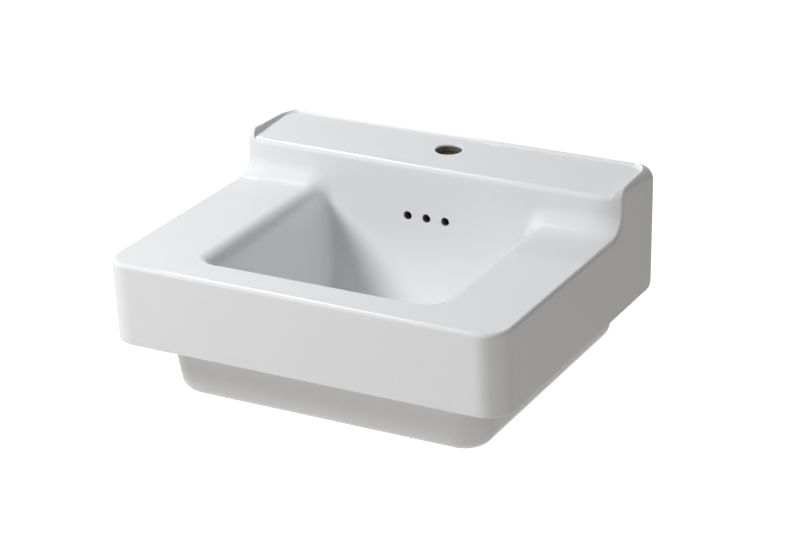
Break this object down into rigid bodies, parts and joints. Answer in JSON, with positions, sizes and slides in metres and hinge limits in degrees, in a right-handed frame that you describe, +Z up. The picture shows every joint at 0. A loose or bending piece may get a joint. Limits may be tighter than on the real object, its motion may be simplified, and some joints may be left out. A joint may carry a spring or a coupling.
{
  "type": "bathroom sink",
  "caption": "Wall-hung rectangular bathroom sink with a raised back deck, tap hole, overflow holes, a stepped tub, its wall hanger and a push-open waste.",
  "frame": {"origin": "on the wall face, on the sink's centre plane, level with the flat top of the rim", "axes": "+X along the front edge to the right, seen by a person at the sink; +Y into the wall; +Z up"},
  "size_m": [0.538, 0.5037, 0.313],
  "materials": {
    "glazed_china": "gloss",
    "zinc_steel": "satin",
    "black_rubber": "matte",
    "chrome": "polished",
    "white_plastic": "satin",
    "raw_brass": "satin",
    "spring_steel": "satin"
  },
  "bodies": {
    "sink": {"basin": "glazed_china", "wall_hanger": "zinc_steel", "hanger_screws": "zinc_steel", "anchor_screws": "zinc_steel", "anchor_washers": "zinc_steel", "anchor_cushions": "black_rubber", "waste_body": "chrome", "flange_seal": "black_rubber", "waste_gasket": "black_rubber", "friction_washer": "white_plastic", "waste_locknut": "raw_brass", "tailpiece": "chrome", "tailpiece_seal": "black_rubber", "cartridge_housing": "white_plastic", "cartridge_spring": "spring_steel"},
    "stopper": {"stopper_cap": "chrome", "stopper_seal": "black_rubber", "stopper_stem": "raw_brass"}
  },
  "joints": [
    {"name": "stopper_slide", "type": "slide", "parent": "sink", "child": "stopper", "axis": [0, 0, 1], "range_m": [-0.009, 0], "stiffness_N_per_m": 400, "springref_m": 0.006, "deforming": ["cartridge_spring"]}
  ]
}
